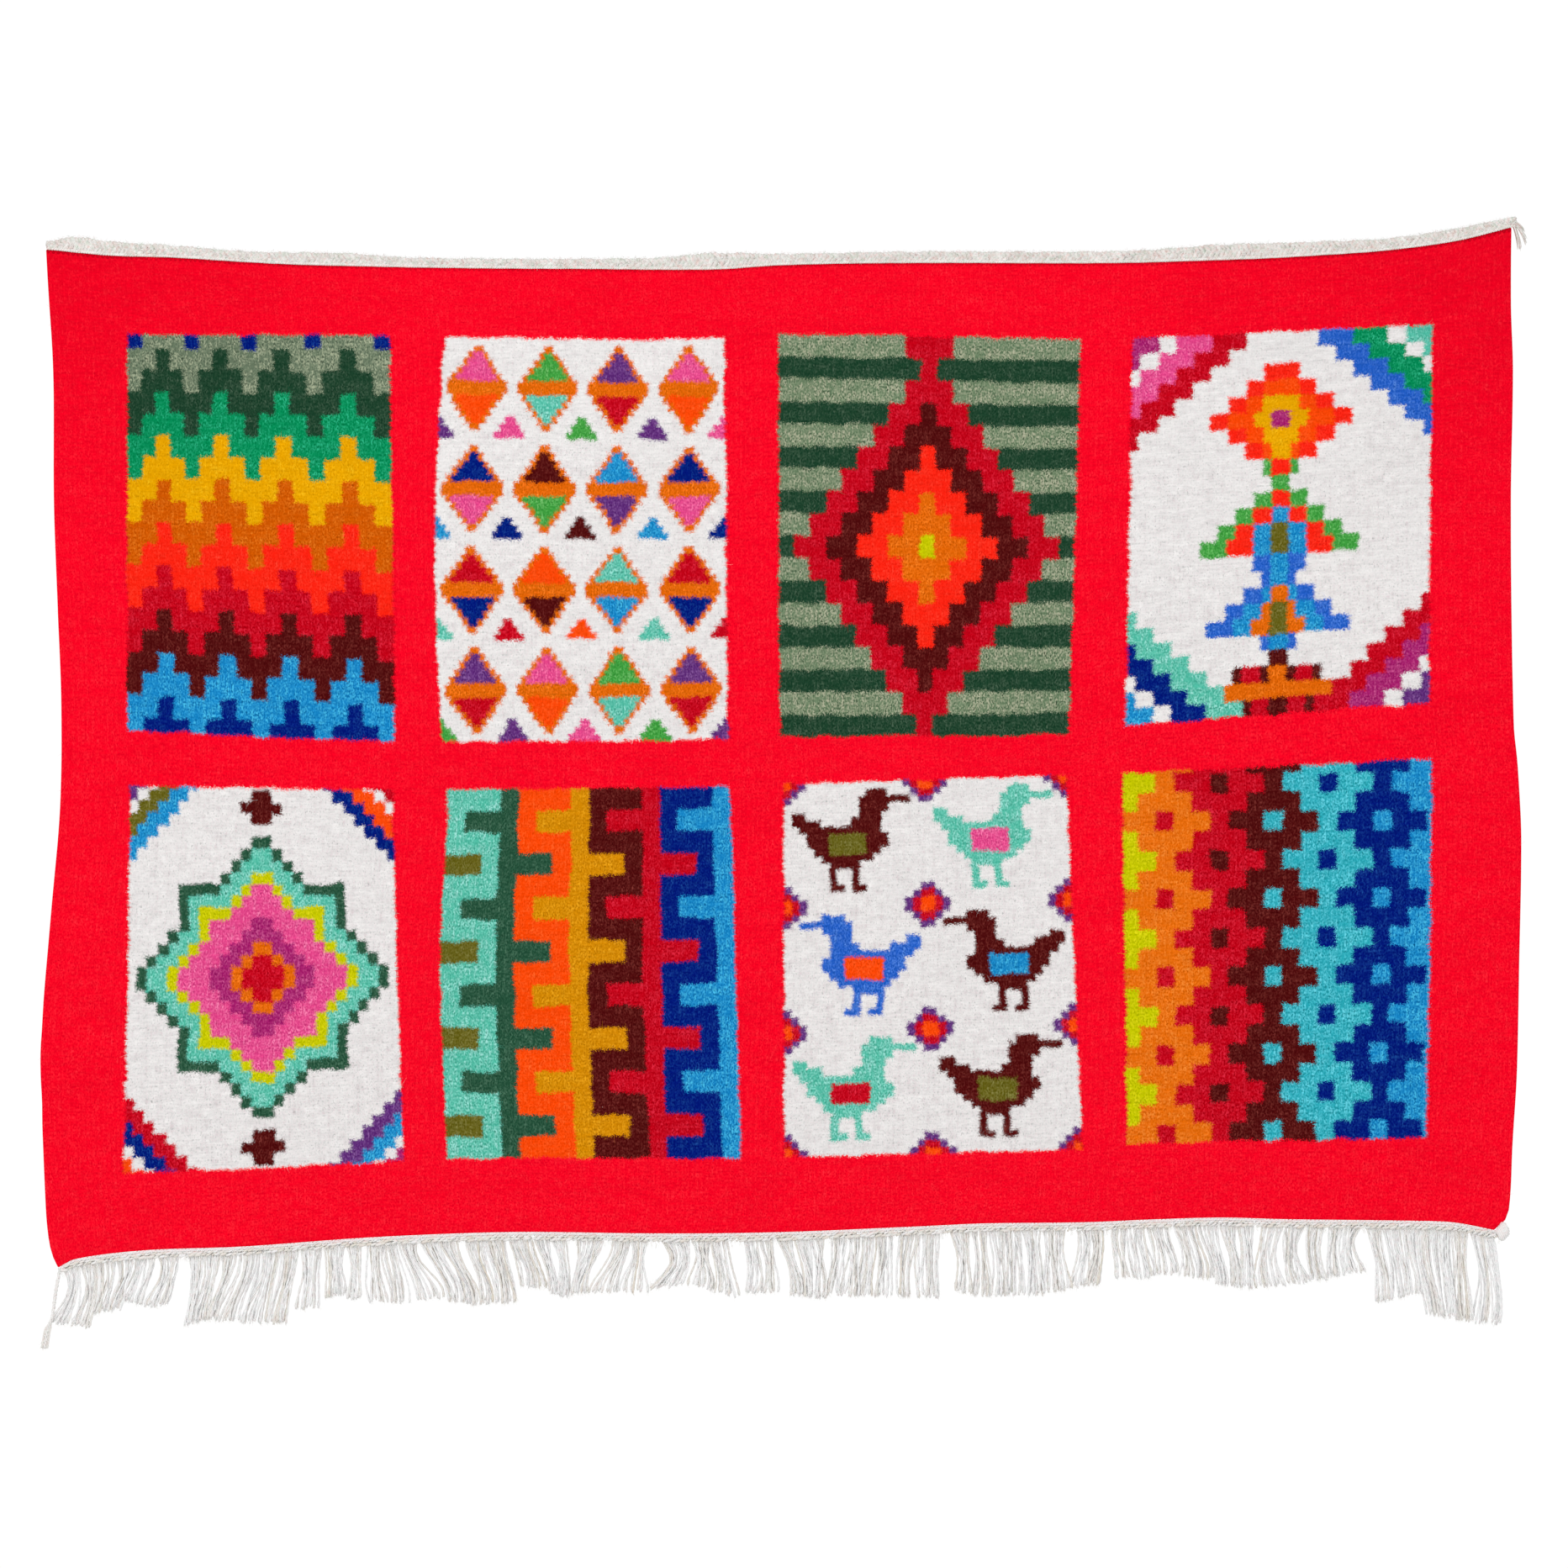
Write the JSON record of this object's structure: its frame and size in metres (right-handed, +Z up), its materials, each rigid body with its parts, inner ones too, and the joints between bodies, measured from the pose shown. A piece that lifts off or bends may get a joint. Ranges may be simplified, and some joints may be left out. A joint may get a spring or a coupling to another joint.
{
  "type": "kilim wall tapestry",
  "caption": "Landscape weft-faced wool kilim hung as a wall tapestry, red ground with geometric panels, a plaited cream heading along the top and a cream warp fringe along the foot.",
  "frame": {"origin": "middle of the top edge of the heading, on the plane of the wall behind the cloth", "axes": "+X to the viewer's right along the width, +Z up, the woven front faces -Y"},
  "size_m": [1.215, 0.0212, 0.9242],
  "materials": {
    "wool_cloth": "matte weft-faced wool tapestry weave, lightly brushed, red ground with panels in many colours",
    "heading_yarn": "cream undyed wool warp ends plaited into a narrow furry edge",
    "fringe_yarn": "off-white twisted warp ends, matte, a few of them beige"
  },
  "bodies": {
    "root": {"woven_field": "wool_cloth", "top_heading": "heading_yarn", "bottom_fringe": "fringe_yarn"}
  },
  "joints": []
}
